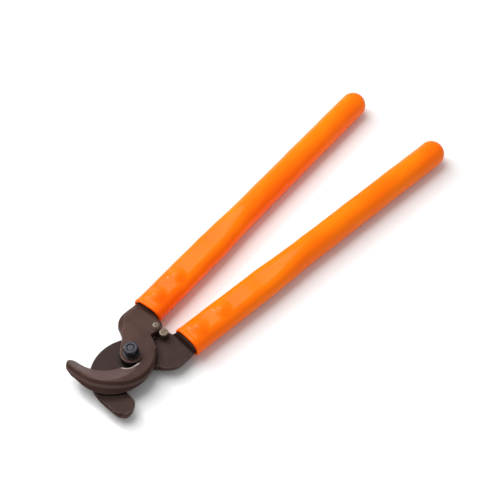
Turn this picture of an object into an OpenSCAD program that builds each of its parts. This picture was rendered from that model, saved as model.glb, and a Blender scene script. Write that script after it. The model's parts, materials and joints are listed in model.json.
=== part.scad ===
// Two-handed cable shears with insulated handles.
// Frame: the pivot axis is the Z axis, the tool lies on the plane z = 0 and the handles
// point along +X. The upper lever has its handle on the +Y side.

/* [Levers] */
// Height of the shear plane, where the two levers slide on each other
shear_z = 15; // [15:0.5:17]
// Thickness of each forged lever
plate_t = 9.5; // [8:0.1:10]
// Gap between the two sliding faces
slide_gap = 0.1; // [0.05:0.05:0.2]
// Radius of the hook's round back
hook_r = 44; // [43.5:0.1:44.5]
// Radius of the upper lever's concave cutting edge
upper_edge_r = 42.8; // [42.5:0.1:43]
// Radius of the lower lever's concave cutting edge
lower_edge_r = 36.2; // [36:0.1:36.5]
// Radius of the upper lever's boss around the pivot
boss_r = 12.2; // [11.8:0.1:12.4]
// Radius of the lower lever's boss around the pivot
lower_boss_r = 15.4; // [15:0.1:15.6]

/* [Pivot] */
// Diameter of the bolt's plain shoulder
shoulder_d = 12; // [11:0.5:13]
// Radial clearance of the levers on the shoulder
pivot_clearance = 0.05; // [0.02:0.01:0.09]
// Diameter of the bolt's thread
thread_d = 8; // [8:0.5:9]
// Diameter of the bolt's low round head
head_d = 22; // [20:0.5:24]
// Width across flats of the nut
nut_af = 14; // [13:0.5:14]
// Height of the nut
nut_h = 8; // [7:0.5:9]
// Diameter of the flat washer and the disc spring
washer_d = 16; // [15:0.5:17]

/* [Stops] */
// Diameter of a stop pin's head
stop_d = 9.5; // [9:0.1:9.6]
// Height of a stop pin's head over its lever's sliding face
stop_h = 8; // [6:0.5:9]
// Diameter of a stop pin's riveted shank
stop_shank_d = 6.5; // [6:0.5:7]

/* [Handles] */
// Length of a handle from its mouth to its rounded end
handle_l = 390.5; // [360:0.5:420]
// Angle between a handle and the middle of the tool, jaws closed
handle_tilt = 4.47; // [4:0.01:5]
// Outside diameter of the steel tube
tube_d = 24; // [23:0.5:24]
// Wall of the steel tube
tube_wall = 2; // [1.5:0.1:2.2]
// Height of the tube where it is pressed flat over the tang
flat_h = 16.3; // [16:0.1:17]
// Thickness of the inner layer of insulation
base_t = 1; // [0.8:0.1:1.2]
// Thickness of the outer layer of insulation
grip_t = 2; // [1.8:0.1:2.2]
// Diameter of the rivets that hold tube and tang together
rivet_d = 8; // [7:0.5:9]
// Diameter of a rivet's head
rivet_head_d = 14; // [13:0.5:15]
// Height of a rivet's head
rivet_head_h = 4; // [3:0.5:4]

/* [Hidden] */
$fn = 96;
eps = 0.01;

steel_colour = "#4a3d3a";
raw_colour = "#a39c90";
tube_colour = "#b9bcc0";
base_colour = "#f2d31c";
grip_colour = "#ff7a00";
plug_colour = "#2c2c2c";

// Centres of the circles that make the lever's outline, upper lever, seen from above
hook_c = [-13.5, 13.5];
// Cutting edge and tip of each jaw as [x, y, radius]; the two jaws differ
upper_edge = [2.4, 39.3, upper_edge_r];
lower_edge = [4.6, 30, lower_edge_r];
upper_tip = [-46.2, 30.8, 11.2];
lower_tip = [-44.3, 30.8, 12.7];
// Notch at the foot of the boss
notch = [-2, -0.7, 12.5];
// Inner corner between hook and stop lobe; the lower lever's reaches under the upper lever
upper_corner = [27.7, 1.2];
lower_corner = [28.2, -0.6];
tip_corner_c = [-44.4, 37.75];
tip_corner_r = 3.9;
waist_c = [-12, 36];
waist_r = 24;
shoulder_c = [28.5, 25.5];
shoulder_r = 16.5;
stop_c = [40.2, 5.62];
lobe_r = 6.4;
// Two circles, [x, y, radius], that the bevel reaches at the plate's top; the back's slope
// is concentric with them
ridges = [[-12, 20, 36.4], [-12, 32, 38.2]];
back_drop = 3.5;
back_slope_w = 5.8;
// Circle that the back's slope follows near the pivot, where it leaves the bevel
heel_c = [-7, 8];
heel_r = 34;
edge_land = 0.4;
// Relief round the back of the hook on its sliding side: width on the face, and height
relief_w = 1.8;
relief_h = 3.2;
// Upright part of the head's outer wall, below its chamfer
head_wall = 5.5;
mouth_c = [49.5, 28.6];

half_gap = slide_gap / 2;
flat_w = flat_h + (PI * (tube_d - flat_h)) / 2;
flat_l = 105;
taper_l = 62;
taper_step = 0.3;
round_x = flat_l + taper_l;
tube_end = handle_l - tube_d / 2 - base_t - grip_t;
tang_t = flat_h - 2 * tube_wall - 0.2;
tang_w = flat_w - 2 * tube_wall - 0.2;
tang_l = 72;
rivet_xs = [17, 49];
// The sleeve runs this far over the tube's mouth
lip = 4;
washer_t = 1.2;
spring_t = 1;
washer_bore = thread_d + 0.5;
nut_turn = 12;
nut_z = shear_z + plate_t + washer_t + spring_t;

// ---------- frames ----------

// Places the upper lever's own frame: its sliding face at local z = 0, its body above
module upper_frame() {
    translate([0, 0, shear_z]) children();
}

// The lower lever is the same kind of forging, turned over about the tool's long axis
module lower_frame() {
    translate([0, 0, shear_z]) rotate([180, 0, 0]) children();
}

// Handle frame: local x runs along the handle from its mouth, local z = 0 is its axis
module handle_frame() {
    translate([mouth_c.x, mouth_c.y, 0]) rotate([0, 0, handle_tilt]) children();
}

module disc(c, r) {
    translate([c.x, c.y]) circle(r = r);
}

// ---------- lever ----------

// The hook: a round back, a concave cutting edge, a rounded tip and a throat notch
module hook_2d(edge, tip) {
    difference() {
        union() {
            disc(hook_c, hook_r);
            disc(tip, tip.z);
            polygon([[-50, 14], [-50, 30], [tip.x - tip.z, tip.y], [-57.4, 15]]);
        }
        disc(edge, edge.z);
        disc(notch, notch.z);
        difference() {
            translate([-75, tip.y]) square([75, 50]);
            disc(tip, tip.z);
        }
    }
}

// The plate between the pivot and the handle, with its shoulder and stop lobe
module shank_2d(boss, corner) {
    difference() {
        union() {
            polygon([
                [-4, 5], [0, -10], [20, -14], corner, [stop_c.x, stop_c.y - lobe_r], [46.4, 7],
                [49.5, 14], [49.5, 41.2], [44, 42], [28.5, 42], [14, 34], [8, 26], [-4, 14]
            ]);
            disc(shoulder_c, shoulder_r);
            disc(stop_c, lobe_r);
        }
        disc(waist_c, waist_r);
    }
    disc([0, 0], boss);
}

module lever_2d(edge, tip, boss, corner) {
    hook_2d(edge, tip);
    shank_2d(boss, corner);
}

// Removed from the hook: everything above the bevel that runs up from the cutting edge
module bevel_cutter(edge, boss, corner) {
    intersection() {
        hull() {
            translate([edge.x, edge.y, edge_land]) cylinder(r = edge.z, h = eps, $fn = 72);
            for (c = ridges) translate([c.x, c.y, plate_t]) cylinder(r = c.z, h = 2, $fn = 72);
        }
        linear_extrude(height = plate_t + 3) difference() {
            translate([-75, -30]) square([75, 90]);
            disc(notch, notch.z);
            shank_2d(boss, corner);
        }
    }
}

// One level of the hook's sloping back, grown outwards by grow
module back_level(z, grow) {
    for (c = ridges)
        translate([c.x, c.y, z]) cylinder(r = c.z + 0.2 + grow, h = eps, $fn = 90);
    translate([heel_c.x, heel_c.y, z]) cylinder(r = heel_r + 0.7 * grow, h = eps, $fn = 90);
}

// Removed from the hook: everything outside its sloping back
module back_cutter() {
    difference() {
        translate([-75, -45, 0]) cube([75, 100, plate_t + 2]);
        hull() {
            translate([hook_c.x, hook_c.y, -1]) cylinder(r = hook_r + 1, h = eps, $fn = 90);
            back_level(plate_t - back_drop, back_slope_w);
            back_level(plate_t, 0);
        }
    }
}

// Removed from the hook: a slanted relief along its round back, on the sliding side
module relief_cutter() {
    over = 0.5;
    difference() {
        translate([0, 0, -over]) linear_extrude(height = relief_h + over)
            polygon([[-75, -75], [26, -75], [26, 1], [0, 1], [0, 75], [-75, 75]]);
        for (y = [hook_c.y, upper_tip.y]) translate([hook_c.x, y, -relief_h])
            cylinder(r1 = hook_r - 2 * relief_w, r2 = hook_r + 0.05, h = 2 * relief_h + 0.05);
    }
}

// Removed from the upper lever's narrow jaw to round its inner corner
module tip_corner() {
    difference() {
        translate([0, 0, -1]) linear_extrude(height = plate_t + 2)
            polygon([tip_corner_c, [-40, 37.6], [-38, 43.5], [-43.3, 42.5]]);
        translate([tip_corner_c.x, tip_corner_c.y, -2]) cylinder(r = tip_corner_r, h = plate_t + 4);
    }
}

// The head's raised flat, its chamfered shoulder and the slope down to the mouth
module head_block() {
    hull() {
        linear_extrude(height = head_wall) {
            disc(shoulder_c, shoulder_r);
            polygon([[30, 6], [46.4, 7], [49.5, 14], [49.5, 41.2], [44, 42], [28.5, 42]]);
        }
        translate([0, 0, plate_t - eps]) linear_extrude(height = eps) {
            disc([28.5, 24], 11.5);
            disc([36, 27], 8.5);
            disc(stop_c, lobe_r - 0.5);
        }
    }
}

module tang() {
    handle_frame() translate([-2, 0, 0]) rotate([90, 0, 90])
        linear_extrude(height = tang_l + 2) stadium_2d(tang_w, tang_t);
}

// The forging steps from the plate's level to the handle's axis just before the mouth
module joggle() {
    hull() {
        translate([44, 11.5, 0]) cube([2, 30, 6]);
        handle_frame() translate([-1, -tang_w / 2, -tang_t / 2]) cube([1.5, tang_w, tang_t]);
    }
}

module lever(edge, tip, boss, corner) {
    difference() {
        union() {
            translate([0, 0, half_gap]) difference() {
                linear_extrude(height = plate_t - half_gap) lever_2d(edge, tip, boss, corner);
                bevel_cutter(edge, boss, corner);
                back_cutter();
                relief_cutter();
                shoulder_cutter();
            }
            translate([0, 0, half_gap]) head_block();
            joggle();
            tang();
        }
        translate([0, 0, -1])
            cylinder(r = shoulder_d / 2 + pivot_clearance, h = plate_t + 2);
        translate([stop_c.x, stop_c.y, -1]) cylinder(d = stop_shank_d, h = plate_t + 2);
        rivet_holes();
    }
}

// Clears the shank's full height where the head block's slopes take over
module shoulder_cutter() {
    translate([0, 0, head_wall]) linear_extrude(height = plate_t) polygon([
        [4, 22], [14, 21], [17, 30], [30, 38], [41, 30], [44.5, 20], [45.5, 10], [60, 10],
        [60, 60], [4, 60]
    ]);
}

module upper_lever() {
    color(steel_colour) upper_frame() difference() {
        lever(upper_edge, upper_tip, boss_r, upper_corner);
        tip_corner();
    }
}

module lower_lever() {
    color(steel_colour) lower_frame()
        lever(lower_edge, lower_tip, lower_boss_r, lower_corner);
}

// ---------- pivot ----------

module pivot_bolt() {
    head_h = shear_z - plate_t;
    shoulder_top = shear_z + plate_t;
    color(steel_colour) {
        cylinder(d = head_d, h = head_h);
        cylinder(d = shoulder_d, h = shoulder_top - 0.1);
        cylinder(d = thread_d, h = nut_z + nut_h - 0.4);
    }
}

module ring(outer_d, inner_d, h) {
    difference() {
        cylinder(d = outer_d, h = h);
        translate([0, 0, -1]) cylinder(d = inner_d, h = h + 2);
    }
}

module pivot_washer() {
    color(raw_colour) translate([0, 0, shear_z + plate_t]) ring(washer_d, washer_bore, washer_t);
}

module pivot_disc_spring() {
    color(raw_colour) translate([0, 0, shear_z + plate_t + washer_t])
        ring(washer_d - 2, washer_bore, spring_t);
}

module pivot_nut() {
    color(steel_colour) translate([0, 0, nut_z]) difference() {
        rotate([0, 0, nut_turn]) intersection() {
            cylinder(d = nut_af / cos(30), h = nut_h, $fn = 6);
            translate([0, 0, -3.2]) cylinder(r1 = nut_af, r2 = nut_af / 2 - 0.3, h = nut_h + 3.2);
        }
        translate([0, 0, -1]) cylinder(d = thread_d, h = nut_h + 2);
    }
}

// ---------- stop pins ----------

// The head stands on the sliding face of its own lever, the shank is riveted through
module stop_pin() {
    translate([stop_c.x, stop_c.y, 0]) {
        translate([0, 0, half_gap - stop_h]) cylinder(d = stop_d, h = stop_h);
        cylinder(d = stop_shank_d, h = plate_t + 0.4);
    }
}

module upper_stop_pin() {
    color(raw_colour) upper_frame() stop_pin();
}

module lower_stop_pin() {
    color(raw_colour) lower_frame() stop_pin();
}

// ---------- handles ----------

module stadium_2d(w, h) {
    square([w - h, h], center = true);
    for (side = [-1, 1]) translate([side * (w - h) / 2, 0]) circle(d = h);
}

// The handle's shape, grown outwards by grow: flattened, then a taper, then round
module handle_shape(x0, x1, grow) {
    w = flat_w + 2 * grow;
    h = flat_h + 2 * grow;
    d = tube_d + 2 * grow;
    translate([x0, 0, 0]) rotate([90, 0, 90]) linear_extrude(height = flat_l - x0) stadium_2d(w, h);
    hull() {
        translate([flat_l - 1, 0, 0]) rotate([90, 0, 90]) linear_extrude(height = eps)
            stadium_2d(w - taper_step, h - taper_step, $fn = 48);
        translate([round_x + 1, 0, 0]) rotate([0, 90, 0])
            cylinder(d = d - taper_step, h = eps, $fn = 48);
    }
    translate([round_x, 0, 0]) rotate([0, 90, 0]) cylinder(d = d, h = x1 - round_x);
}

module rivet_holes() {
    handle_frame() for (x = rivet_xs)
        translate([x, 0, -20]) cylinder(d = rivet_d, h = 40);
}

// One rivet head's shape on the flat of the tube, grown outwards by grow
module rivet_head(grow) {
    cap_h = rivet_head_h + grow;
    cap_a = rivet_head_d / 2 + grow;
    cap_r = (cap_a * cap_a + cap_h * cap_h) / (2 * cap_h);
    translate([0, 0, flat_h / 2]) intersection() {
        translate([0, 0, cap_h - cap_r]) sphere(r = cap_r);
        cylinder(r = cap_a + 1, h = cap_h + 1);
    }
}

module rivet_heads(grow) {
    for (x = rivet_xs) for (flip = [0, 180])
        translate([x, 0, 0]) rotate([flip, 0, 0]) rivet_head(grow);
}

module handle_tube() {
    handle_frame() difference() {
        handle_shape(lip, tube_end, 0);
        handle_shape(lip - 1, tube_end + 1, -tube_wall);
        for (x = rivet_xs) translate([x, 0, -20]) cylinder(d = rivet_d, h = 40);
    }
}

module handle_rivets() {
    handle_frame() {
        rivet_heads(0);
        for (x = rivet_xs) translate([x, 0, -flat_h / 2]) cylinder(d = rivet_d, h = flat_h);
    }
}

module base_layer() {
    handle_frame() difference() {
        union() {
            handle_shape(lip - 1, tube_end, base_t);
            translate([tube_end, 0, 0]) sphere(d = tube_d + 2 * base_t);
            rivet_heads(base_t);
        }
        handle_shape(lip - 2, tube_end, 0);
        translate([tube_end, 0, 0]) sphere(d = tube_d);
        rivet_heads(0);
    }
}

module grip_sleeve() {
    handle_frame() difference() {
        union() {
            handle_shape(0, tube_end, base_t + grip_t);
            translate([tube_end, 0, 0]) sphere(r = tube_d / 2 + base_t + grip_t);
            rivet_heads(base_t + grip_t);
        }
        handle_shape(lip - 1, tube_end, base_t);
        translate([-1, 0, 0]) rotate([90, 0, 90]) linear_extrude(height = lip)
            stadium_2d(flat_w + base_t, flat_h + base_t);
        translate([tube_end, 0, 0]) sphere(d = tube_d + 2 * base_t);
        rivet_heads(base_t);
    }
}

// A round plug closes the tube and gives the dipped end its dome
module end_plug() {
    handle_frame() {
        translate([tube_end, 0, 0]) intersection() {
            sphere(d = tube_d);
            rotate([0, 90, 0]) cylinder(d = tube_d + 1, h = tube_d);
        }
        translate([tube_end - 12, 0, 0]) rotate([0, 90, 0]) cylinder(r = tube_d / 2 - tube_wall, h = 12.5);
    }
}

module upper_handle_tube() {
    color(tube_colour) upper_frame() handle_tube();
}

module lower_handle_tube() {
    color(tube_colour) lower_frame() handle_tube();
}

module upper_handle_rivets() {
    color(raw_colour) upper_frame() handle_rivets();
}

module lower_handle_rivets() {
    color(raw_colour) lower_frame() handle_rivets();
}

module upper_base_layer() {
    color(base_colour) upper_frame() base_layer();
}

module lower_base_layer() {
    color(base_colour) lower_frame() base_layer();
}

module upper_grip_sleeve() {
    color(grip_colour) upper_frame() grip_sleeve();
}

module lower_grip_sleeve() {
    color(grip_colour) lower_frame() grip_sleeve();
}

module upper_end_plug() {
    color(plug_colour) upper_frame() end_plug();
}

module lower_end_plug() {
    color(plug_colour) lower_frame() end_plug();
}

upper_lever();
lower_lever();
pivot_bolt();
pivot_washer();
pivot_disc_spring();
pivot_nut();
upper_stop_pin();
lower_stop_pin();
upper_handle_tube();
lower_handle_tube();
upper_handle_rivets();
lower_handle_rivets();
upper_base_layer();
lower_base_layer();
upper_grip_sleeve();
lower_grip_sleeve();
upper_end_plug();
lower_end_plug();
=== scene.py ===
import json
import math

import bpy
import numpy as np
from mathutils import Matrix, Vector


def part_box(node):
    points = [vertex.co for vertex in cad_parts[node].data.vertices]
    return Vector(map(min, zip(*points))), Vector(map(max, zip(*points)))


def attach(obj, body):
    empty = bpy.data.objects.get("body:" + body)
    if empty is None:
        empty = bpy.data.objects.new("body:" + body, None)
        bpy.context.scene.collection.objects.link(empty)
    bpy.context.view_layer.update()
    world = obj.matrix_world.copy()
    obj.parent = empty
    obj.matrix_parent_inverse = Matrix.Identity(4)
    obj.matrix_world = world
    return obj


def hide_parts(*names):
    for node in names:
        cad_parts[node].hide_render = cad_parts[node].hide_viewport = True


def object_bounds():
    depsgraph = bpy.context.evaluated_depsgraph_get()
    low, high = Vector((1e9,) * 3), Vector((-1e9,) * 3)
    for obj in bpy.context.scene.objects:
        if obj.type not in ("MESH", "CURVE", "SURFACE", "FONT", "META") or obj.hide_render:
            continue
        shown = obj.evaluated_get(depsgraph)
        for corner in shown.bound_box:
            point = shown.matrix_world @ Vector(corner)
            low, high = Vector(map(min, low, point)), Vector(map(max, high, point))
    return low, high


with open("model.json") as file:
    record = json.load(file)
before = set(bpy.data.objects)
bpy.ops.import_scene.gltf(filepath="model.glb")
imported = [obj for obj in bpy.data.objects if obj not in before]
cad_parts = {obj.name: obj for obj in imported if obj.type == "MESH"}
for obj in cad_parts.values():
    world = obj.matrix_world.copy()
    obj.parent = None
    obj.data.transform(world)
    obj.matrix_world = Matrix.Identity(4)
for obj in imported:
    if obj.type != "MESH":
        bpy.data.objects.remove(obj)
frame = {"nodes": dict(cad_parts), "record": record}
cad_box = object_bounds()
SCENE = bpy.context.scene
MM = 0.001

# The forged levers and the nut are distance fields meshed here, the other visible pieces are
# turned or lofted, and the pieces hidden inside are the CAD nodes with materials of their own.
# Shape functions work in millimetres, and pieces go out in metres in the CAD frame.

# ---------------------------------------------------------------- places from the CAD frame


def centre(node):
    low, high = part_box(node)
    return (low + high) / 2


def span(node):
    low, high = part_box(node)
    return high - low


PIVOT = Vector(frame["record"]["behaviour"]["joints"][0]["pos_m"])
SHEAR_Z = PIVOT.z
PLATE_T = (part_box("upper_lever")[1].z - SHEAR_Z) / MM
STOP_AT = centre("upper_stop_pin").xy / MM

# The handle's axis runs through the middle of its rivets and the middle of its end plug
RIVET_XS = (17.0, 49.0)
RIVETS_AT = centre("upper_handle_rivets")
AXIS = (centre("upper_end_plug") - RIVETS_AT).xy.normalized()
MOUTH = RIVETS_AT.xy / MM - AXIS * sum(RIVET_XS) / 2

# ---------------------------------------------------------------- fields, in millimetres

FAR = 1e9
TINY = 1e-9


def smax(a, b, k):
    """The larger of two fields, blended where they are within k of each other."""
    h = np.maximum(k - np.abs(a - b), 0) / k
    return np.maximum(a, b) + h * h * k / 4


def smin(a, b, k):
    return -smax(-a, -b, k)


def union(fields, k):
    """One field from several, with soft joins k wide."""
    whole = fields[0]
    for field in fields[1:]:
        whole = smin(whole, field, k)
    return whole


def step(a, b, x):
    """Rises smoothly from 0 at a to 1 at b."""
    t = np.clip((x - a) / (b - a), 0, 1)
    return t * t * (3 - 2 * t)


def fade(a, b, x):
    """Falls smoothly from 1 at a to 0 at b."""
    return 1 - step(a, b, x)


def disc(x, y, c):
    """Signed distance to the circle c, which is (x, y, radius)."""
    return np.hypot(x - c[0], y - c[1]) - c[2]


def polygon(x, y, points):
    """Signed distance to a polygon, negative inside."""
    nearest = np.full(x.shape, FAR)
    sign = np.ones(x.shape)
    for (ax, ay), (bx, by) in zip(points, points[1:] + points[:1]):
        ex, ey = bx - ax, by - ay
        wx, wy = x - ax, y - ay
        t = np.clip((wx * ex + wy * ey) / (ex * ex + ey * ey), 0, 1)
        nearest = np.minimum(nearest, np.hypot(wx - ex * t, wy - ey * t))
        a, b, c = y >= ay, y < by, ex * wy > ey * wx
        sign = np.where((a & b & c) | ~(a | b | c), -sign, sign)
    return sign * nearest


def cone(x, y, z, low, high, z_low, z_high):
    """Side of the solid between two discs at two heights, negative inside, true to scale."""
    t = (z - z_low) / (z_high - z_low)
    dx, dy, dr = (high[i] - low[i] for i in range(3))
    px = x - low[0] - dx * t
    py = y - low[1] - dy * t
    away = np.hypot(px, py)
    lean = (dx * px / away + dy * py / away + dr) / (z_high - z_low)
    return (away - low[2] - dr * t) / np.sqrt(1 + lean * lean)


def surface_nets(field, origin, size):
    """Closed quad mesh of the surface where the field is zero."""
    inside = field < 0
    shape = tuple(n - 1 for n in field.shape)
    total = np.zeros(shape + (3,), np.float32)
    hits = np.zeros(shape, np.float32)
    edges = []
    for axis in range(3):
        lo, hi = [slice(None)] * 3, [slice(None)] * 3
        lo[axis], hi[axis] = slice(0, -1), slice(1, None)
        a, b = field[tuple(lo)], field[tuple(hi)]
        cross = inside[tuple(lo)] != inside[tuple(hi)]
        t = np.where(cross, a / np.where(cross, a - b, 1), 0)
        u, v = [k for k in range(3) if k != axis]
        edges.append((cross, inside[tuple(lo)], u, v))
        for su in (0, 1):
            for sv in (0, 1):
                pick = [slice(None)] * 3
                pick[u] = slice(su, su + shape[u])
                pick[v] = slice(sv, sv + shape[v])
                c = cross[tuple(pick)]
                hits += c
                total[..., axis] += t[tuple(pick)]
                total[..., u] += c * su
                total[..., v] += c * sv
    used = hits > 0
    cells = np.argwhere(used)
    ids = np.full(shape, -1)
    ids[used] = np.arange(len(cells))
    points = np.array(origin) + size * (cells + total[used] / hits[used][:, None])
    quads = []
    for axis, (cross, starts_inside, u, v) in enumerate(edges):
        at = np.argwhere(cross)
        keep = (at[:, u] > 0) & (at[:, v] > 0) & (at[:, u] < shape[u]) & (at[:, v] < shape[v])
        at = at[keep]
        corners = []
        for su, sv in ((1, 1), (0, 1), (0, 0), (1, 0)):
            c = at.copy()
            c[:, u] -= su
            c[:, v] -= sv
            corners.append(ids[tuple(c.T)])
        quad = np.stack(corners, 1)
        flip = starts_inside[tuple(at.T)] == (axis == 1)
        quad[flip] = quad[flip][:, ::-1]
        quads.append(quad)
    return points, np.concatenate(quads)


def grid(low, high, size):
    """Coordinates of the samples of a box, one axis each."""
    axes = [np.arange(a, b + size, size) for a, b in zip(low, high)]
    x, y, z = np.meshgrid(*axes, indexing="ij", sparse=True)
    return x, y, z


# ---------------------------------------------------------------- meshes and their marks


def wrap(rows, sides, closed=False):
    """Quads between rows of points that run round an axis."""
    quads = []
    for k in range(rows if closed else rows - 1):
        n = (k + 1) % rows
        for i in range(sides):
            j = (i + 1) % sides
            quads.append((k * sides + i, k * sides + j, n * sides + j, n * sides + i))
    return np.array(quads)


def neighbours(quads):
    """Both ends of every quad's sides, each side in both directions."""
    a = np.concatenate([quads[:, k] for k in range(4)])
    b = np.concatenate([quads[:, (k + 1) % 4] for k in range(4)])
    return np.concatenate([a, b]), np.concatenate([b, a])


def marks(points, quads):
    """Wear and painted highlight on convex edges and painted shade in hollows, 0 to 1 at each
    vertex, from the curvature.
    """
    p = points[quads]
    face_normal = np.cross(p[:, 2] - p[:, 0], p[:, 3] - p[:, 1])
    n = len(points)
    normal = np.stack(
        [
            sum(np.bincount(quads[:, k], face_normal[:, c], n) for k in range(4))
            for c in range(3)
        ],
        1,
    )
    normal /= np.linalg.norm(normal, axis=1)[:, None] + 1e-12
    a, b = neighbours(quads)
    gap = points[a] - points[b]
    bend = 2 * (gap * normal[a]).sum(1) / ((gap * gap).sum(1) + TINY)
    count = np.bincount(a, minlength=n) + TINY
    curve = np.bincount(a, bend, n) / count
    for _ in range(2):
        curve = 0.5 * curve + 0.5 * np.bincount(a, curve[b], n) / count
    return step(0.1, 0.55, curve), step(0.08, 0.5, -curve)


def relax(points, quads, rounds, share):
    """Evens out small steps in a mesh."""
    a, b = neighbours(quads)
    n = len(points)
    count = (np.bincount(a, minlength=n) + TINY)[:, None]
    for _ in range(rounds):
        mean = np.stack([np.bincount(a, points[b, c], n) for c in range(3)], 1) / count
        points = points + share * (mean - points)
    return points


def make(name, points, faces, body, node, slot, extra):
    """A smooth-shaded piece in the CAD frame, from points in metres and values at each point."""
    mesh = bpy.data.meshes.new(name)
    mesh.from_pydata([tuple(p) for p in points], [], [tuple(int(i) for i in f) for f in faces])
    mesh.validate()
    mesh.shade_smooth()
    for key, values in extra.items():
        layer = mesh.attributes.new(key, "FLOAT", "POINT")
        layer.data.foreach_set("value", np.asarray(values, np.float32))
    mesh.materials.append(LOOKS[slot])
    piece = bpy.data.objects.new(name, mesh)
    SCENE.collection.objects.link(piece)
    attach(piece, body)
    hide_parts(node)


# ---------------------------------------------------------------- materials


class Nodes:
    """Short calls for building a node material. Fixed values go on the shader's own sockets."""

    def __init__(self, name, **fixed):
        self.material = bpy.data.materials.new(name)
        self.material.use_nodes = True
        self.tree = self.material.node_tree
        self.shader = self.tree.nodes["Principled BSDF"]
        for key, value in fixed.items():
            self.shader.inputs[key.replace("_", " ")].default_value = value
        self.place = self.tree.nodes.new("ShaderNodeTexCoord").outputs["Object"]

    def add(self, kind, inputs=(), **settings):
        node = self.tree.nodes.new("ShaderNode" + kind)
        for key, value in settings.items():
            setattr(node, key, value)
        for key, value in dict(inputs).items():
            if isinstance(value, bpy.types.NodeSocket):
                self.tree.links.new(value, node.inputs[key])
            else:
                node.inputs[key].default_value = value
        return node

    def noise(self, scale, detail=4.0, rough=0.5, distortion=0.0, vector=None):
        inputs = {"Vector": vector or self.place, "Scale": scale, "Detail": detail}
        inputs.update({"Roughness": rough, "Distortion": distortion})
        return self.add("TexNoise", inputs).outputs["Fac"]

    def voronoi(self, scale):
        return self.add("TexVoronoi", {"Vector": self.place, "Scale": scale}).outputs["Distance"]

    def stretch(self, scale):
        return self.add("Mapping", {"Vector": self.place, "Scale": scale}).outputs["Vector"]

    def ramp(self, value, low, high, to_low=0.0, to_high=1.0):
        inputs = {"Value": value, "From Min": low, "From Max": high}
        inputs.update({"To Min": to_low, "To Max": to_high})
        return self.add("MapRange", inputs, interpolation_type="SMOOTHSTEP").outputs["Result"]

    def math(self, operation, a, b=0.0):
        return self.add("Math", {0: a, 1: b}, operation=operation).outputs[0]

    def mix(self, share, a, b):
        node = self.add("Mix", data_type="RGBA")
        for index, value in ((0, share), (6, a), (7, b)):
            if isinstance(value, bpy.types.NodeSocket):
                self.tree.links.new(value, node.inputs[index])
            elif index:
                node.inputs[index].default_value = (*value, 1)
            else:
                node.inputs[index].default_value = value
        return node.outputs[2]

    def over(self, color, where, share, tint):
        """The colour with a share of a tint laid over it where the mask says."""
        return self.mix(self.math("MULTIPLY", where, share), color, tint)

    def mark(self, name):
        """A value stored at each vertex of the piece."""
        return self.add("Attribute", attribute_name=name).outputs["Fac"]

    def finish(self, color, roughness, bumps):
        self.tree.links.new(color, self.shader.inputs["Base Color"])
        self.tree.links.new(roughness, self.shader.inputs["Roughness"])
        normal = None
        for height, depth in bumps:
            inputs = {"Height": height, "Distance": depth, "Strength": 1.0}
            if normal:
                inputs["Normal"] = normal
            normal = self.add("Bump", inputs).outputs["Normal"]
        if normal:
            self.tree.links.new(normal, self.shader.inputs["Normal"])
        return self.material


def forged_steel():
    """Blackened drop-forged steel: blotchy oxide, oil, worn edges and a ground bevel, with painted
    shade in hollows, a painted shadow of the other jaw, and painted highlights along the back's
    step and the notch's rim.
    """
    n = Nodes("forged_steel_look", Specular_IOR_Level=0.14)
    blotch = n.ramp(n.noise(55, 5, 0.55, 0.6), 0.25, 0.75)
    grain = n.noise(900, 4, 0.6)
    pits = n.ramp(n.voronoi(520), 0.05, 0.28, 1.0, 0.0)
    pit_zone = n.ramp(n.noise(160, 3), 0.56, 0.7)
    pits = n.math("MULTIPLY", pits, pit_zone)
    color = n.mix(blotch, (0.042, 0.0185, 0.0135), (0.060, 0.029, 0.022))
    color = n.mix(n.ramp(grain, 0.3, 0.75, 0.0, 0.16), color, (0.024, 0.013, 0.010))
    color = n.over(color, n.mark("oil"), 0.75, (0.015, 0.006, 0.0055))
    streak_at = n.add("CombineXYZ", {"X": n.mark("arc"), "Y": n.math("MULTIPLY", grain, 0.25)})
    streaks = n.noise(2.6, 5, 0.7, 0.2, streak_at.outputs[0])
    # the bevel mark holds the ground bevel and the painted highlight line along the back's step,
    # and both get the ground colour
    ground = n.mark("bevel")
    ground_color = n.mix(n.ramp(streaks, 0.3, 0.72), (0.090, 0.053, 0.049), (0.124, 0.079, 0.074))
    color = n.over(color, ground, 0.85, ground_color)
    broken = n.ramp(n.noise(420, 4, 0.6), 0.36, 0.62)
    worn = n.math("MULTIPLY", n.mark("wear_and_highlight"), n.math("ADD", n.math("MULTIPLY", broken, 0.75), 0.2))
    color = n.over(color, worn, 0.6, (0.16, 0.12, 0.105))
    # painted highlight along the notch's rim
    color = n.over(color, n.mark("notch_highlight"), 0.9, (0.42, 0.36, 0.33))
    # painted shade in hollows and in the notch
    color = n.over(color, n.mark("hollow_shade"), 0.85, (0.006, 0.004, 0.003))
    color = n.over(color, pits, 0.5, (0.014, 0.008, 0.006))
    # painted shadow of the other jaw: near black, and more metallic so that its reflection is dark
    # too
    jaw_shadow = n.math("MULTIPLY", n.mark("jaw_shadow"), n.ramp(blotch, 0.0, 1.0, 0.8, 1.0))
    color = n.mix(jaw_shadow, color, (0.008, 0.005, 0.004))
    metal = n.math("ADD", 0.25, n.math("MULTIPLY", jaw_shadow, 0.75))
    n.tree.links.new(metal, n.shader.inputs["Metallic"])
    rough = n.ramp(grain, 0.25, 0.8, 0.42, 0.58)
    rough = n.math("SUBTRACT", rough, n.math("MULTIPLY", worn, 0.1))
    rough = n.math("SUBTRACT", rough, n.math("MULTIPLY", ground, 0.06))
    relief = n.math("MULTIPLY", streaks, n.math("MULTIPLY", ground, 0.5))
    bumps = [(n.noise(180, 3, 0.5), 0.00016), (grain, 0.00002), (relief, 0.00006)]
    bumps.append((n.math("MULTIPLY", pits, -1.0), 0.00006))
    return n.finish(color, rough, bumps)


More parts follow.
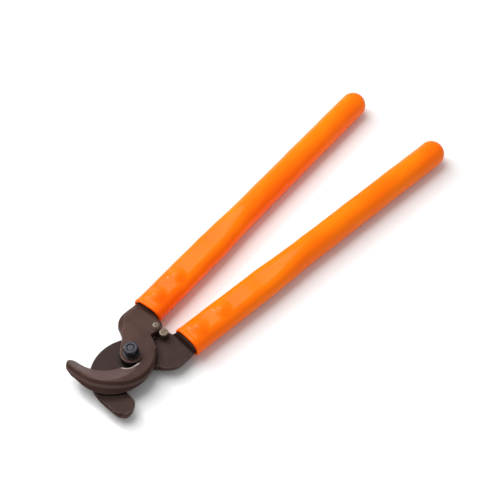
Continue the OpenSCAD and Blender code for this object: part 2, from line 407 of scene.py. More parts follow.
def dark_steel():
    """Blued fastener steel with bright worn corners and painted shade in hollows."""
    n = Nodes("dark_steel_look", Metallic=0.75)
    blotch = n.ramp(n.noise(240, 4, 0.6), 0.3, 0.7)
    color = n.mix(blotch, (0.016, 0.0155, 0.021), (0.029, 0.028, 0.037))
    broken = n.ramp(n.noise(900, 4, 0.6), 0.35, 0.6, 0.3, 1.0)
    worn = n.math("MULTIPLY", n.mark("wear_and_highlight"), broken)
    color = n.over(color, worn, 0.5, (0.11, 0.105, 0.125))
    # painted shade in hollows
    color = n.over(color, n.mark("hollow_shade"), 0.7, (0.02, 0.018, 0.018))
    rough = n.ramp(n.noise(1500, 3), 0.3, 0.75, 0.3, 0.46)
    return n.finish(color, rough, [(n.noise(1200, 4, 0.6), 0.00004), (blotch, 0.00005)])


def raw_steel():
    """Bare turned steel, a little oxidised, with its edges painted bright as worn metal and
    highlight, and painted shade in hollows.
    """
    n = Nodes("raw_steel_look", Metallic=0.5, Specular_IOR_Level=0.25)
    stain = n.ramp(n.noise(380, 5, 0.6, 0.5), 0.35, 0.68)
    color = n.mix(stain, (0.062, 0.040, 0.025), (0.115, 0.084, 0.056))
    color = n.mix(n.ramp(n.noise(1400, 3), 0.55, 0.75, 0.0, 0.5), color, (0.10, 0.075, 0.055))
    # worn edges and painted highlight, bright on the riveted rim
    color = n.over(color, n.mark("wear_and_highlight"), 0.5, (0.40, 0.34, 0.28))
    # painted shade in hollows
    color = n.over(color, n.mark("hollow_shade"), 0.7, (0.05, 0.04, 0.035))
    rough = n.ramp(n.noise(1100, 3), 0.3, 0.75, 0.3, 0.5)
    return n.finish(color, rough, [(n.noise(1300, 4, 0.6), 0.00005), (stain, 0.00006)])


def zinc_tube():
    """Galvanised steel tube with a faint spangle."""
    n = Nodes("tube_steel_look", Metallic=0.9)
    spangle = n.ramp(n.voronoi(260), 0.1, 0.7)
    color = n.mix(spangle, (0.50, 0.51, 0.53), (0.66, 0.67, 0.69))
    rough = n.ramp(n.noise(500, 3), 0.3, 0.7, 0.3, 0.5)
    return n.finish(color, rough, [(n.noise(900, 3), 0.00004)])


def inner_insulation():
    """Yellow base layer under the orange one."""
    n = Nodes("base_insulation_look")
    mottle = n.ramp(n.noise(120, 4), 0.3, 0.7)
    color = n.mix(mottle, (0.80, 0.60, 0.04), (0.90, 0.74, 0.08))
    rough = n.ramp(n.noise(700, 3), 0.3, 0.7, 0.42, 0.6)
    return n.finish(color, rough, [(n.noise(500, 3), 0.00006)])


def orange_insulation():
    """Dipped PVC: glossy, slightly wavy, redder near the head, with faint scuffs, a painted
    highlight on convex parts such as the bumps and the lip, and painted shade in the hollows.
    """
    gloss = {"IOR": 1.5, "Specular_IOR_Level": 0.04, "Coat_Weight": 0.15, "Coat_Roughness": 0.12}
    n = Nodes("orange_insulation_look", Metallic=0.0, **gloss)
    wave = n.noise(35, 3, 0.5, 0.3, n.stretch((0.5, 1.0, 1.0)))
    mottle = n.noise(240, 4, 0.6)
    color = n.mix(n.ramp(wave, 0.3, 0.7), (1.0, 0.148, 0.0), (1.0, 0.185, 0.0))
    along = n.add("SeparateXYZ", {"Vector": n.place}).outputs["X"]
    color = n.mix(n.ramp(along, 0.05, 0.14, 0.4, 0.0), color, (0.98, 0.10, 0.0))
    color = n.mix(n.ramp(mottle, 0.55, 0.8, 0.0, 0.22), color, (0.98, 0.12, 0.0))
    # painted shade: deeper red in the hollows round the bumps
    color = n.over(color, n.mark("hollow_shade"), 0.6, (0.92, 0.06, 0.0))
    # painted highlight: yellower on convex parts such as the bumps and the lip
    color = n.over(color, n.mark("wear_and_highlight"), 0.3, (1.0, 0.27, 0.0))
    scuff_at = n.stretch((0.25, 1.0, 1.0))
    scuff = n.ramp(n.noise(900, 5, 0.7, 0.0, scuff_at), 0.62, 0.74)
    scuff = n.math("MULTIPLY", scuff, n.ramp(n.noise(30, 2), 0.5, 0.62))
    color = n.over(color, scuff, 0.3, (0.80, 0.17, 0.03))
    rough = n.ramp(mottle, 0.3, 0.75, 0.26, 0.36)
    rough = n.math("ADD", rough, n.math("MULTIPLY", scuff, 0.22))
    return n.finish(color, rough, [(wave, 0.0005), (mottle, 0.00006), (n.noise(1500, 2), 0.00001)])


def plug_plastic():
    """Black moulded plastic."""
    n = Nodes("plug_plastic_look")
    mottle = n.ramp(n.noise(300, 4), 0.3, 0.7)
    color = n.mix(mottle, (0.022, 0.022, 0.022), (0.038, 0.038, 0.038))
    rough = n.ramp(n.noise(900, 3), 0.3, 0.7, 0.45, 0.6)
    return n.finish(color, rough, [(n.noise(1200, 3), 0.00005)])


LOOKS = {
    "forged_steel": forged_steel(),
    "dark_steel": dark_steel(),
    "raw_steel": raw_steel(),
    "orange_insulation": orange_insulation(),
}

# ---------------------------------------------------------------- levers

# Discs are (x, y, radius) in a lever's own frame: the pivot is the origin and the two levers
# slide on the plane z = 0. The lower lever is placed upside down.
HOOK = (-13.5, 13.5, 44.0)
RIDGE = (-12.0, 20.0, 36.4)
RIDGE_TIP = (-12.0, 32.0, 38.2)
HEEL = (-7.0, 8.0, 34.0)
SHOULDER = (28.5, 25.5, 16.5)
WAIST = (-12.0, 36.0, 24.0)
NOTCH = (-2.0, -0.7, 12.5)
TIP_Y = 30.8
JAWS = {
    "upper": {
        "edge": (2.4, 39.3, 42.8),
        "tip": (-46.2, TIP_Y, 11.2),
        "tip_round": 5.0,
        "boss": (0, 0, 12.2),
        "corner": (27.7, 1.2),
    },
    "lower": {
        "edge": (4.6, 30.0, 36.2),
        "tip": (-44.3, TIP_Y, 12.7),
        "tip_round": 2.0,
        "boss": (0, 0, 15.4),
        "corner": (28.2, -0.6),
    },
}
HALF_GAP = 0.05
BORE_R = 6.05
PIN_R = 3.25
LOBE = (STOP_AT.x, STOP_AT.y, 6.4)

# The straight flank that joins the tip's outer side to the hook
FLANK_LOW_Y = 14
FLANK_INNER_X = -45

# The back: how far it stands past the ridge at its step and at the top, how far outside the
# hook it starts, and the relief at its foot
BACK_Z = PLATE_T - 3.5
BACK_GROW, HEEL_GROW, TOP_GROW = 5.8, 4.1, 0.2
BACK_LEAD = 1
RELIEF_W, RELIEF_H = 1.8, 3.2
RELIEF_END_X, RELIEF_RUNOUT = 22, 1.2

# The ground bevel starts at the narrow flat of the cutting edge and runs out near the boss
EDGE_LAND = 0.4
BEVEL_END_X, BEVEL_RUNOUT = -16, 0.018

# The shank's outline on both sides of its inner corner, and the raised flat of its head. Each
# SCALE divides a slanted field by about its steepness, so that it stays a distance.
SHANK_INNER = [(-4, 14), (-4, 5), (0, -10), (20, -14)]
SHANK_OUTER = [
    (LOBE[0], LOBE[1] - LOBE[2]), (46.4, 7), (49.5, 14), (49.5, 41.2), (44, 42),
    (28.5, 42), (14, 34), (8, 26),
]
FLAT_DISCS = [(28.5, 24, 11.5), (36, 27, 8.5), (STOP_AT.x, STOP_AT.y, 5.9)]
FLAT_BRIDGES = [((0, 0, 14.0), (22, 18, 12.0)), ((16, 0, 13.0), (30, 8, 8.0))]
FLAT_HEEL_Y = 6
HEAD_SLOPE, HEAD_SLOPE_SCALE = 0.66, 1.2

# The tang, and the neck that steps down to it, by distance from the handle's mouth
TANG_W, TANG_T, TANG_L = 24.2, 12.1, 72.0
JOGGLE_FROM, JOGGLE_TO, JOGGLE_SCALE = -3.6, -0.2, 2.4
NECK_TO = 4
NECK_EASE, NECK_GROW, NECK_SHIFT = 7.5, 3.2, 2
TANG_FROM, TANG_TO, ROD_FROM = -3, 8, 5.0

# Width of the soft join where two surfaces of a lever meet
SOFT = {
    "flank": 0.5, "tip": 0.3, "back": 2, "back step": 0.4, "hook": 0.6, "relief": 0.4,
    "relief ends": 1, "ridge": 1, "jaw top": 0.9, "bevel": 1.5, "shank": 2.0, "waist": 3.0,
    "head": 1.0, "union": 2.2, "notch": 1.2, "neck": 4.0, "tang": 1.0, "handle": 2.5,
    "face": 0.5, "bore": 0.5, "pin hole": 0.4,
}


def grown(ring, by):
    """The disc with a larger radius."""
    return (ring[0], ring[1], ring[2] + by)


def between(a, b, count):
    """Discs spaced from disc a to disc b."""
    return [np.array(a) * (1 - t) + np.array(b) * t for t in np.linspace(0, 1, count)]


def flat_top(x, y):
    """Outline of the head's and neck's raised flat."""
    shapes = []
    a, b, c = (np.array(d) for d in FLAT_DISCS)
    steps = np.linspace(0, 1, 9)
    for s in steps:
        for t in steps:
            if s + t <= 1.001:
                shapes.append(a + (b - a) * s + (c - a) * t)
    for start, end in FLAT_BRIDGES:
        shapes += between(start, end, 12)
    flat = np.maximum(disc(x, y, HEEL), y - FLAT_HEEL_Y)
    for shape in shapes:
        flat = np.minimum(flat, disc(x, y, shape))
    return flat


def bevel_field(x, y, z, edge):
    """The ground bevel: a slanted surface from the cutting edge up to the ridge."""
    sides = [cone(x, y, z, edge, ring, EDGE_LAND, PLATE_T) for ring in (RIDGE, RIDGE_TIP)]
    return union(sides, SOFT["ridge"]) + BEVEL_RUNOUT * np.maximum(x - BEVEL_END_X, 0) ** 2


def back_field(x, y, z):
    """The hook's back: it slopes in up to a step and more steeply from there to the ridge."""
    foot = grown(HOOK, BACK_LEAD)
    lower, upper = [], []
    for ring, grow in ((RIDGE, BACK_GROW), (RIDGE_TIP, BACK_GROW), (HEEL, HEEL_GROW)):
        lower.append(cone(x, y, z, foot, grown(ring, grow), -BACK_LEAD, BACK_Z))
        upper.append(cone(x, y, z, grown(ring, grow), grown(ring, TOP_GROW), BACK_Z, PLATE_T))
    return smax(union(lower, SOFT["back"]), union(upper, SOFT["back"]), SOFT["back step"])


def relief_field(x, y, z):
    """The slanted relief round the back on the sliding side, which runs out under the shank."""
    walls = []
    for middle_y in (HOOK[1], TIP_Y):
        ring = (HOOK[0], middle_y, HOOK[2])
        walls.append(cone(x, y, z, grown(ring, -RELIEF_W), ring, 0, RELIEF_H))
    return union(walls, SOFT["relief ends"]) - RELIEF_RUNOUT * np.maximum(x - RELIEF_END_X, 0)


def hook_field(x, y, z, jaw):
    """The whole jaw, which the shank is joined to."""
    edge, tip = jaw["edge"], jaw["tip"]
    flank = np.maximum(np.maximum(tip[0] - tip[2] - x, FLANK_LOW_Y - y), x - FLANK_INNER_X)
    hook = smin(disc(x, y, HOOK), flank, SOFT["flank"])
    hook = smin(np.maximum(hook, y - tip[1]), disc(x, y, tip), SOFT["tip"])
    hook = smax(hook, -disc(x, y, edge), jaw["tip_round"])
    hook = smax(hook, back_field(x, y, z), SOFT["hook"])
    hook = smax(hook, relief_field(x, y, z), SOFT["relief"])
    hook = smax(hook, z - PLATE_T, SOFT["jaw top"])
    return smax(hook, -bevel_field(x, y, z, edge), SOFT["bevel"])


def shank_outline(x, y, jaw):
    """Outline of the boss, neck, head and stop lobe."""
    corners = SHANK_INNER + [jaw["corner"]] + SHANK_OUTER
    shank = smin(polygon(x, y, corners), disc(x, y, SHOULDER), SOFT["shank"])
    shank = smin(shank, disc(x, y, LOBE), SOFT["shank"])
    shank = smax(shank, -disc(x, y, WAIST), SOFT["waist"])
    return smin(shank, disc(x, y, jaw["boss"]), SOFT["waist"])


def shank_field(x, y, z, outline):
    """The shank's outline raised to its flat top, with a slope all round the flat."""
    slope = (z - PLATE_T + HEAD_SLOPE * flat_top(x, y)) / HEAD_SLOPE_SCALE
    return smax(smax(outline, slope, SOFT["head"]), z - PLATE_T, SOFT["head"])


def joggle(x, y, z, body):
    """Adds the neck and the start of the tang, and steps the sliding face down to the tang."""
    u = (x - MOUTH.x) * AXIS.x + (y - MOUTH.y) * AXIS.y
    v = (y - MOUTH.y) * AXIS.x - (x - MOUTH.x) * AXIS.y
    ease = np.clip(-u / NECK_EASE, 0, 1)
    half = TANG_W / 2 + NECK_GROW * ease
    neck = smax(np.abs(v + NECK_SHIFT * ease) - half, np.abs(z) - TANG_T / 2, SOFT["neck"])
    neck = np.maximum(neck, np.maximum(JOGGLE_FROM - u, u - NECK_TO))
    tang = np.hypot(np.maximum(np.abs(v) - (TANG_W - TANG_T) / 2, 0), z) - TANG_T / 2
    tang = np.maximum(tang, np.maximum(TANG_FROM - u, u - TANG_TO))
    body = smin(body, smin(neck, tang, SOFT["tang"]), SOFT["handle"])
    bottom = HALF_GAP - (TANG_T / 2 + HALF_GAP) * step(JOGGLE_FROM, JOGGLE_TO, u)
    face = np.where(u > JOGGLE_FROM, (bottom - z) / JOGGLE_SCALE, HALF_GAP - z)
    return smax(body, face, SOFT["face"])


def lever_field(x, y, z, jaw):
    """The whole lever up to a little way into the handle."""
    outline = shank_outline(x, y, jaw)
    body = smin(hook_field(x, y, z, jaw), shank_field(x, y, z, outline), SOFT["union"])
    body = np.maximum(body, z - PLATE_T)
    notch = np.maximum(disc(x, y, NOTCH), 0.1 - outline)
    body = smax(body, -notch + 0 * z, SOFT["notch"])
    body = joggle(x, y, z, body)
    body = smax(body, BORE_R - np.hypot(x, y) + 0 * z, SOFT["bore"])
    return smax(body, PIN_R - np.hypot(x - STOP_AT.x, y - STOP_AT.y) + 0 * z, SOFT["pin hole"])


def lever_marks(points, quads, jaw):
    """Marks for the forged look at each vertex, with painted shade, a painted shadow and painted
    highlights among them. Their fades are distances in millimetres.
    """
    wear_and_highlight, hollow_shade = marks(points, quads)
    x, y, z = points.T
    # the ground bevel, and a painted highlight line along the step in the back, coloured like the
    # bevel
    ground = fade(0.3, 0.9, np.abs(bevel_field(x, y, z, jaw["edge"])))
    ground *= step(0.3, 1.0, z) * fade(8.7, 9.4, z) * fade(-4, 8, x)
    step_highlight = fade(0.5, 1.3, np.abs(z - BACK_Z)) * step(2.0, 3.5, disc(x, y, RIDGE))
    ground = np.maximum(ground, 0.75 * step_highlight * fade(10, 22, x))
    # a painted highlight along the notch's rim, on the side away from the handle
    front = step(9.5, 12.0, -0.86 * x - 0.51 * y)
    notch_highlight = step(0.1, 0.5, disc(x, y, NOTCH)) * fade(2.0, 2.8, disc(x, y, NOTCH)) * front
    notch_highlight *= step(0.5, 1.0, disc(x, y, jaw["boss"]))
    notch_highlight *= step(1.0, 1.8, z)
    # shade in the notch, and no worn edges at the handle
    pocket = fade(0.2, 1.0, disc(x, y, NOTCH))
    hollow_shade = np.maximum(hollow_shade, pocket * fade(PLATE_T - 2.0, PLATE_T - 0.6, z))
    wear_and_highlight = wear_and_highlight * fade(42, 45, x)
    # painted shadow of the other jaw on the sliding face, just past that jaw's back
    past = disc(x, y, (HOOK[0], -HOOK[1], HOOK[2] - RELIEF_W))
    jaw_shadow = step(-3, -0.5, past) * fade(4.0, 12.0, past) * fade(0.5, 1.5, z)
    jaw_shadow *= fade(-8, 0, x) * step(0, 8, y)
    # oil on the sliding face and on the tang, and the whole lever a little darker towards low y
    oil = 0.75 * fade(0.3, 1.2, z) * fade(46, 47, x) + 0.35 * fade(-6, 14, y)
    oil += 0.5 * step(45.5, 47, x)
    arc = np.hypot(x - jaw["edge"][0], y - jaw["edge"][1])
    return {
        "wear_and_highlight": wear_and_highlight, "hollow_shade": hollow_shade, "bevel": ground, "arc": arc,
        "oil": oil, "notch_highlight": notch_highlight, "jaw_shadow": jaw_shadow,
    }


def stadium_tube(length, start):
    """Closed prism of the tang's section, in handle coordinates."""
    around = []
    for side, first in ((1, -90), (-1, 90)):
        for k in range(13):
            a = math.radians(first + 15 * k)
            v = side * (TANG_W - TANG_T) / 2 + TANG_T / 2 * math.cos(a)
            around.append((v, TANG_T / 2 * math.sin(a)))
    rings = [(start, 0.9), (start + 0.8, 1.0), (length - 1.2, 1.0), (length, 0.88)]
    points = [(u, v * s, z * s) for u, s in rings for v, z in around]
    n = len(around)
    faces = [tuple(q) for q in wrap(len(rings), n)[:, (0, 3, 2, 1)]]
    for ring, flip in ((0, False), (len(rings) - 1, True)):
        points.append((rings[ring][0], 0, 0))
        middle = len(points) - 1
        for i in range(n):
            pair = (ring * n + i, ring * n + (i + 1) % n)
            faces.append((middle, *(pair[::-1] if flip else pair)))
    return np.array(points), faces


def to_cad(points, flip):
    """From a lever's own frame in millimetres to the CAD frame in metres."""
    p = np.asarray(points, float) * MM
    if flip:
        p = p * (1, -1, -1)
    return p + (PIVOT.x, PIVOT.y, SHEAR_Z)


def from_handle(points):
    """From handle coordinates, which start at the handle's mouth, to a lever's own frame."""
    p = np.asarray(points, float)
    x = MOUTH.x + p[:, 0] * AXIS.x - p[:, 1] * AXIS.y
    y = MOUTH.y + p[:, 0] * AXIS.y + p[:, 1] * AXIS.x
    return np.stack([x, y, p[:, 2]], 1)


def snap_round(points, middle, radius, reach):
    """Moves points close to a bore exactly onto its radius."""
    rel = points[:, :2] - middle
    away = np.linalg.norm(rel, axis=1)
    near = np.abs(away - radius) < reach
    points[near, :2] = np.array(middle) + rel[near] * (radius / away[near])[:, None]


# The box of samples that the lever is meshed from, as far as the start of the tang
LEVER_GRID = 0.45
LEVER_LOW, LEVER_HIGH = (-59.5, -32.5, -7.4), (59.0, 45.0, 11.0)
FACE_SNAP, BORE_SNAP = 0.12, 0.3


def lever(side, flip):
    """One forging: the meshed field, and a plain rod for the tang inside the handle."""
    jaw = JAWS[side]
    field = lever_field(*grid(LEVER_LOW, LEVER_HIGH, LEVER_GRID), jaw)
    points, quads = surface_nets(field.astype(np.float32), LEVER_LOW, LEVER_GRID)
    points = relax(points, quads, 2, 0.25)
    on_face = np.abs(points[:, 2] - HALF_GAP) < FACE_SNAP
    points[:, 2] = np.where(on_face, HALF_GAP, points[:, 2])
    snap_round(points, (0, 0), BORE_R, BORE_SNAP)
    found = lever_marks(points, quads, jaw)
    rod, rod_faces = stadium_tube(TANG_L, ROD_FROM)
    faces = [tuple(q) for q in quads]
    faces += [tuple(i + len(points) for i in f) for f in rod_faces]
    placed = to_cad(np.concatenate([points, from_handle(rod)]), flip)
    extra = {key: np.append(values, np.zeros(len(rod))) for key, values in found.items()}
    name = side + "_lever_forging"
    make(name, placed, faces, side + "_arm", side + "_lever", "forged_steel", extra)


lever("upper", False)
lever("lower", True)

# ---------------------------------------------------------------- turned pieces


def lathe(profile, sides=96):
    """Rows of points round the z axis from a profile of (radius, height), and their quads."""
    angles = [2 * math.pi * i / sides for i in range(sides)]
    points = [(r * math.cos(a), r * math.sin(a), h) for r, h in profile for a in angles]
    is_ring = profile[0][0] > TINY
    return np.array(points, float), wrap(len(profile), sides, is_ring)


def rounded(profile, radius, steps=4):
    """The profile with each corner between its ends cut to a small round."""
    out = [profile[0]]
    for before, at, after in zip(profile, profile[1:], profile[2:]):
        p, a, b = (np.array(q, float) for q in (at, before, after))
        cut = min(radius, np.linalg.norm(a - p) / 2.2, np.linalg.norm(b - p) / 2.2)
        start = p + (a - p) / np.linalg.norm(a - p) * cut
        end = p + (b - p) / np.linalg.norm(b - p) * cut
        for s in range(steps + 1):
            t = s / steps
            out.append(tuple((1 - t) ** 2 * start + 2 * t * (1 - t) * p + t * t * end))
    return out + [profile[-1]]


def spread(profile, most):
    """The profile with points added so that no step is longer than most."""
    out = [profile[0]]
    for a, b in zip(profile, profile[1:]):
        count = max(1, math.ceil(math.dist(a, b) / most))
        out += [tuple(np.array(a) + (np.array(b) - a) * k / count) for k in range(1, count + 1)]
    return out


def merged(points, quads):
    """Quads as faces, with the corners that meet on the axis taken once."""
    on_axis = np.hypot(points[:, 0], points[:, 1]) < TINY
    first = {}
    faces = []
    for quad in quads:
        face = []
        for i in quad:
            i = int(i)
            if on_axis[i]:
                i = first.setdefault(round(float(points[i, 2]), 6), i)
            if i not in face:
                face.append(i)
        if len(face) > 2:
            faces.append(tuple(face))
    return faces


def turned(name, profile, node, body, slot, radius, most=0.7, place=None, sides=96):
    """A piece turned about a vertical axis, from a profile in millimetres."""
    outline = spread(rounded([tuple(p) for p in profile], radius), most)
    points, quads = lathe(outline, sides)
    wear_and_highlight, hollow_shade = marks(points, quads)
    placed = place(points) if place else points * MM
    extra = {"wear_and_highlight": wear_and_highlight, "hollow_shade": hollow_shade}
    make(name, placed, merged(points, quads), body, node, slot, extra)


HEAD_R = span("pivot_bolt").x / MM / 2
HEAD_TOP = SHEAR_Z / MM - PLATE_T
SHOULDER_TOP = SHEAR_Z / MM + PLATE_T - 0.1
SHOULDER_R = 6.0
THREAD_R = 4.0
END_CHAMFER = 0.9
BOLT_LOW, BOLT_HIGH = (p.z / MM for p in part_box("pivot_bolt"))
NUT_LOW, NUT_HIGH = (p.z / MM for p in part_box("pivot_nut"))

bolt = [
    (0, BOLT_LOW), (HEAD_R - 4, BOLT_LOW), (HEAD_R, BOLT_LOW + 2.6), (HEAD_R, HEAD_TOP),
    (SHOULDER_R, HEAD_TOP), (SHOULDER_R, SHOULDER_TOP), (THREAD_R, SHOULDER_TOP),
    (THREAD_R, BOLT_HIGH - END_CHAMFER), (THREAD_R - END_CHAMFER, BOLT_HIGH), (0, BOLT_HIGH),
]
turned("pivot_bolt_turned", bolt, "pivot_bolt", "lower_arm", "dark_steel", 0.5)


def ring_profile(node, inner, tilt):
    """Section of a flat or coned ring, closed on itself."""
    low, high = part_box(node)
    outer = (high.x - low.x) / MM / 2
    middle = (inner + outer) / 2
    a, b = low.z / MM, high.z / MM
    return [
        (inner, a + tilt), (middle, a + tilt / 2), (outer, a), (outer, b - tilt),
        (middle, b - tilt / 2), (inner, b), (inner, (a + b + tilt) / 2), (inner, a + tilt),
    ]


def closed_ring(name, node, inner, tilt):
    """A washer of its node's size; tilt makes it a coned spring."""
    profile = spread(rounded(ring_profile(node, inner, tilt), 0.2), 0.5)[:-1]
    points, quads = lathe(profile)
    wear_and_highlight, hollow_shade = marks(points, quads)
    extra = {"wear_and_highlight": wear_and_highlight, "hollow_shade": hollow_shade}
    make(name, points * MM, quads, "lower_arm", node, "dark_steel", extra)


WASHER_BORE_R = 4.25
SPRING_CONE = 0.35
closed_ring("pivot_washer_stamped", "pivot_washer", WASHER_BORE_R, 0.0)
closed_ring("pivot_disc_spring_coned", "pivot_disc_spring", WASHER_BORE_R, SPRING_CONE)

# The nut is 14 mm across flats and turned 12 degrees, as in the CAD
NUT_ACROSS = 14.0
NUT_TURN = 12
NUT_GRID = 0.2
NUT_LIMIT = 8.6
NUT_MARGIN = 0.6
CHAMFER_SLOPE, CHAMFER_SCALE = 1.75, 2.0


def nut():
    """Hexagon with chamfered corners and a countersunk bore."""
    low = (-NUT_LIMIT, -NUT_LIMIT, NUT_LOW - NUT_MARGIN)
    high = (NUT_LIMIT, NUT_LIMIT, NUT_HIGH + NUT_MARGIN)
    x, y, z = grid(low, high, NUT_GRID)
    hexagon = None
    for k in range(6):
        a = math.radians(NUT_TURN + 30 + 60 * k)
        side = x * math.cos(a) + y * math.sin(a) - NUT_ACROSS / 2
        hexagon = side if hexagon is None else smax(hexagon, side, 0.5)
    away = np.hypot(x, y)
    slab = np.abs(z - (NUT_LOW + NUT_HIGH) / 2) - (NUT_HIGH - NUT_LOW) / 2
    body = smax(hexagon + 0 * z, slab, 0.4)
    top = (away - NUT_ACROSS / 2 + 0.35 + (z - NUT_HIGH) * CHAMFER_SLOPE) / CHAMFER_SCALE
    under = (away - NUT_ACROSS / 2 - 0.1 - (z - NUT_LOW) * CHAMFER_SLOPE) / CHAMFER_SCALE
    body = smax(smax(body, top, 0.4), under, 0.4)
    sink = (THREAD_R + 0.25 - away + (z - NUT_HIGH)) / 1.4
    body = smax(smax(body, THREAD_R - away + 0 * z, 0.2), sink, 0.2)
    points, quads = surface_nets(body.astype(np.float32), low, NUT_GRID)
    points = relax(points, quads, 2, 0.3)
    wear_and_highlight, hollow_shade = marks(points, quads)
    extra = {"wear_and_highlight": step(0.3, 1.0, wear_and_highlight), "hollow_shade": hollow_shade}
    make("pivot_nut_hex", points * MM, quads, "lower_arm", "pivot_nut", "dark_steel", extra)


nut()

# The riveted end stands this far above the lever, with its edge upset to a slope
PIN_PROUD = 0.4
PIN_CHAMFER = 0.8
RIVETED_H, RIVETED_W = 0.35, 0.7


def stop_pin(side, flip):
    """Head on the sliding side, shank through the lever and a riveted end on top."""
    low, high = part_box(side + "_stop_pin")
    head_r = (high.x - low.x) / MM / 2
    top = PLATE_T + PIN_PROUD
    head_low = -(high.z - SHEAR_Z) / MM if flip else -(SHEAR_Z - low.z) / MM
    profile = [
        (0, head_low), (head_r - PIN_CHAMFER, head_low), (head_r, head_low + PIN_CHAMFER),
        (head_r, HALF_GAP), (PIN_R, HALF_GAP), (PIN_R, top - RIVETED_H),
        (PIN_R - RIVETED_W, top), (0, top),
    ]

    def place(points):
        return to_cad(points + (STOP_AT.x, STOP_AT.y, 0), flip)

    name = side + "_stop_pin_turned"
    turned(name, profile, side + "_stop_pin", side + "_arm", "raw_steel", 0.3, 0.5, place, 72)


stop_pin("upper", False)
stop_pin("lower", True)

# ---------------------------------------------------------------- insulated sleeves

# The tube is pressed to a stadium as far as FLAT_END and is round from ROUND_START on. The
# stadium has the round tube's girth.
ROUND_R = 15.0
FLAT_T = 22.3
FLAT_W = round(FLAT_T + math.pi * (2 * ROUND_R - FLAT_T) / 2, 3)
FLAT_END, ROUND_START = 105.0, 167.0
SLEEVE_SIDES = 96
# The lip at the mouth is a half round as thick as both layers of insulation, and the inside
# stays just clear of the tube
LIP_R = 1.5
LIP_STEPS = 8
INNER_GROW = -2 * LIP_R + 0.3
SWELL_AT, SWELL_W, SWELL_H = 2.2, 2.4, 0.45
BUMP_R, BUMP_H = 11.5, 4.0
BUMPS_FROM, BUMPS_TO = 3, 66


def section(t, grow):
    """Points round the sleeve: t = 0 is the pressed stadium, t = 1 the round tube."""
    h, w = FLAT_T + 2 * grow, FLAT_W + 2 * grow
    straight = w - h
    half_round = math.pi * h / 2
    s = np.arange(SLEEVE_SIDES) / SLEEVE_SIDES * (2 * straight + math.pi * h)
    first = straight / 2
    ends = [first, first + half_round, first + half_round + straight]
    ends.append(first + 2 * half_round + straight)
    v, z = np.zeros(SLEEVE_SIDES), np.zeros(SLEEVE_SIDES)
    for i, at in enumerate(s):
        if at < ends[0]:
            v[i], z[i] = at, h / 2
        elif at < ends[1]:
            a = (at - ends[0]) / (h / 2)
            v[i], z[i] = straight / 2 + h / 2 * math.sin(a), h / 2 * math.cos(a)
        elif at < ends[2]:
            v[i], z[i] = straight / 2 - (at - ends[1]), -h / 2
        elif at < ends[3]:
            a = (at - ends[2]) / (h / 2)
            v[i], z[i] = -straight / 2 - h / 2 * math.sin(a), -h / 2 * math.cos(a)
        else:
            v[i], z[i] = -straight / 2 + (at - ends[3]), h / 2
    a = np.arange(SLEEVE_SIDES) / SLEEVE_SIDES * 2 * math.pi
    r = ROUND_R + grow
    return v * (1 - t) + r * np.sin(a) * t, z * (1 - t) + r * np.cos(a) * t


def roundness(u):
    """0 where the tube is pressed flat, 1 where it is round."""
    return min(max((u - FLAT_END) / (ROUND_START - FLAT_END), 0), 1)


def bump(u, v, z):
    """Lifts the skin over the rivet heads in soft bells."""
    lift = 0.0
    for at in RIVET_XS:
        away = np.minimum(np.hypot(u - at, v) / BUMP_R, 1)
        lift = lift + BUMP_H * (0.5 + 0.5 * np.cos(math.pi * away)) ** 0.85
    return z + lift * np.clip(z / 6, -1, 1)


def sleeve_row(u, v, z):
    """One row of points round the sleeve, at a distance u along the handle."""
    return np.stack([np.full(SLEEVE_SIDES, u), v, z], 1)


def outer_rows(end):
    """Rows of the outside, from inside the lip to the start of the end's dome."""
    path = []
    for k in range(LIP_STEPS, -1, -1):
        a = math.pi * k / LIP_STEPS
        path.append((LIP_R - LIP_R * math.sin(a), -LIP_R + LIP_R * math.cos(a)))
    along = list(np.arange(2.5, BUMPS_TO, 0.9)) + list(np.arange(BUMPS_TO, FLAT_END, 3))
    along += list(np.arange(FLAT_END, ROUND_START, 2.5)) + list(np.linspace(ROUND_START, end, 44))
    path += [(u, 0.0) for u in along]
    rows = []
    for u, grow in path:
        swell = SWELL_H * math.exp(-((u - SWELL_AT) / SWELL_W) ** 2)
        soft = float(step(FLAT_END - 4, ROUND_START + 4, u))
        v, z = section(0.5 * soft + 0.5 * roundness(u), grow + swell)
        if BUMPS_FROM < u < BUMPS_TO:
            z = bump(u, v, z)
        rows.append(sleeve_row(u, v, z))
    return rows


def inner_rows(end):
    """Rows of the inside, from the mouth to the start of the end's dome."""
    along = [3.0, 6.0, 30.0, 60.0, FLAT_END]
    along += list(np.linspace(FLAT_END + 8, ROUND_START, 6)) + [250.0, end]
    return [sleeve_row(u, *section(roundness(u), INNER_GROW)) for u in along]


def dome_rows(end, radius, steps):
    """Rows of the domed end, without its tip."""
    rows = []
    for k in range(1, steps):
        a = math.pi / 2 * k / steps
        v, z = section(1.0, radius * math.cos(a) - ROUND_R)
        rows.append(sleeve_row(end + radius * math.sin(a), v, z))
    return rows


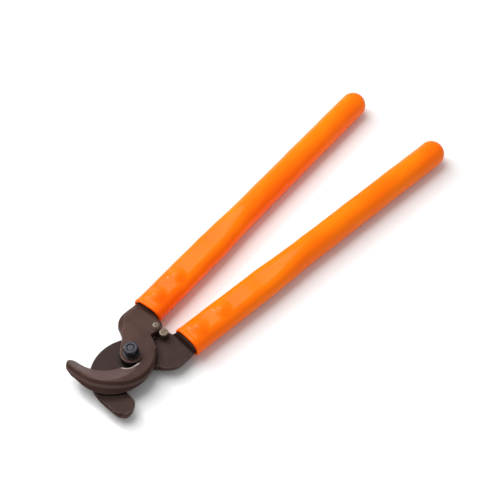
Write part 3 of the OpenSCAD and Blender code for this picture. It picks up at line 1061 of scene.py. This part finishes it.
def sleeve(side, flip):
    """The outer insulation of one handle: outside, lip, inside and both domes in one skin."""
    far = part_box(side + "_grip_sleeve")[1].x / MM
    end = (far - ROUND_R - MOUTH.x) / AXIS.x
    inner_r = ROUND_R + INNER_GROW
    inside = inner_rows(end) + dome_rows(end, inner_r, 5)
    rows = inside[::-1] + outer_rows(end) + dome_rows(end, ROUND_R, 15)
    points = np.concatenate(rows)
    count = len(points)
    # the dipped skin ripples a little
    u, v, z = points.T
    ripple = 0.10 * np.sin(u / 11.0 + 1.3 * v / 9) + 0.07 * np.sin(u / 5.3 + z / 6)
    outside = np.arange(count) >= len(inside) * SLEEVE_SIDES
    away = np.maximum(np.hypot(v, z), 1)[:, None]
    points[:, 1:] += points[:, 1:] / away * (ripple * step(4, 12, u) * outside)[:, None]
    quads = wrap(len(rows), SLEEVE_SIDES)
    wear_and_highlight, hollow_shade = marks(points, quads)
    extra = {"wear_and_highlight": np.append(wear_and_highlight, (0, 0)), "hollow_shade": np.append(hollow_shade, (0, 0))}
    # both domes close in a fan on the handle's axis
    tips = [(end + ROUND_R, 0, 0), (end + inner_r, 0, 0)]
    faces = [tuple(q) for q in quads]
    last = count - SLEEVE_SIDES
    for i in range(SLEEVE_SIDES):
        j = (i + 1) % SLEEVE_SIDES
        faces.append((last + i, last + j, count))
        faces.append((j, i, count + 1))
    placed = to_cad(from_handle(np.concatenate([points, tips])), flip)
    name = side + "_grip_dipped"
    make(name, placed, faces, side + "_arm", side + "_grip_sleeve", "orange_insulation", extra)


sleeve("upper", False)
sleeve("lower", True)

# ---------------------------------------------------------------- carried-over CAD nodes

CARRIED = {
    "handle_tube": zinc_tube(),
    "handle_rivets": LOOKS["raw_steel"],
    "base_layer": inner_insulation(),
    "end_plug": plug_plastic(),
}
for side in ("upper", "lower"):
    for part, material in CARRIED.items():
        node = frame["nodes"][side + "_" + part]
        node.data.materials.clear()
        node.data.materials.append(material)

# ---------------------------------------------------------------- floor, light, camera


def floor_material():
    """Pale matt studio floor."""
    n = Nodes("floor_look", Specular_IOR_Level=0.2)
    color = n.mix(n.ramp(n.noise(3, 3), 0.3, 0.7), (0.86, 0.86, 0.86), (0.88, 0.88, 0.88))
    return n.finish(color, n.ramp(n.noise(20, 3), 0.3, 0.7, 0.7, 0.8), [])


FLOOR_REACH = 3.0
corners = [(x * FLOOR_REACH, y * FLOOR_REACH) for x, y in ((-1, -1), (1, -1), (1, 1), (-1, 1))]
floor_mesh = bpy.data.meshes.new("floor")
floor_mesh.from_pydata([(x, y, cad_box[0].z) for x, y in corners], [], [(0, 1, 2, 3)])
floor_mesh.materials.append(floor_material())
floor = bpy.data.objects.new("floor", floor_mesh)
SCENE.collection.objects.link(floor)

AIM = Vector((0.18996, 0.01104, 0.0))
AZIMUTH, ELEVATION = math.radians(-47.92), math.radians(52.58)
DISTANCE = 1.3366
SENSOR, LENS = 36.0, 87.93
back = Vector(
    (
        math.sin(AZIMUTH) * math.cos(ELEVATION),
        -math.cos(AZIMUTH) * math.cos(ELEVATION),
        math.sin(ELEVATION),
    )
)
camera = bpy.data.objects.new("camera", bpy.data.cameras.new("camera"))
camera.data.sensor_width = SENSOR
camera.data.lens = LENS
camera.location = AIM + back * DISTANCE
camera.rotation_euler = back.to_track_quat("Z", "Y").to_euler()
SCENE.collection.objects.link(camera)
SCENE.camera = camera


def area(name, place, size, power):
    """A square lamp at a place measured from the camera's aim, facing it."""
    light = bpy.data.lights.new(name, "AREA")
    light.energy, light.size = power, size
    lamp = bpy.data.objects.new(name, light)
    lamp.location = AIM + Vector(place)
    lamp.rotation_euler = Vector(place).to_track_quat("Z", "Y").to_euler()
    SCENE.collection.objects.link(lamp)


area("softbox", (-0.05, 0.75, 1.3), 1.5, 28)
area("glint", (-0.1, 1.0, 0.9), 0.2, 5.0)

world = bpy.data.worlds.new("studio")
SCENE.world = world
world.use_nodes = True
background = world.node_tree.nodes["Background"]
background.inputs["Color"].default_value = (1, 1, 1, 1)
background.inputs["Strength"].default_value = 0.5
SCENE.view_settings.view_transform = "Standard"
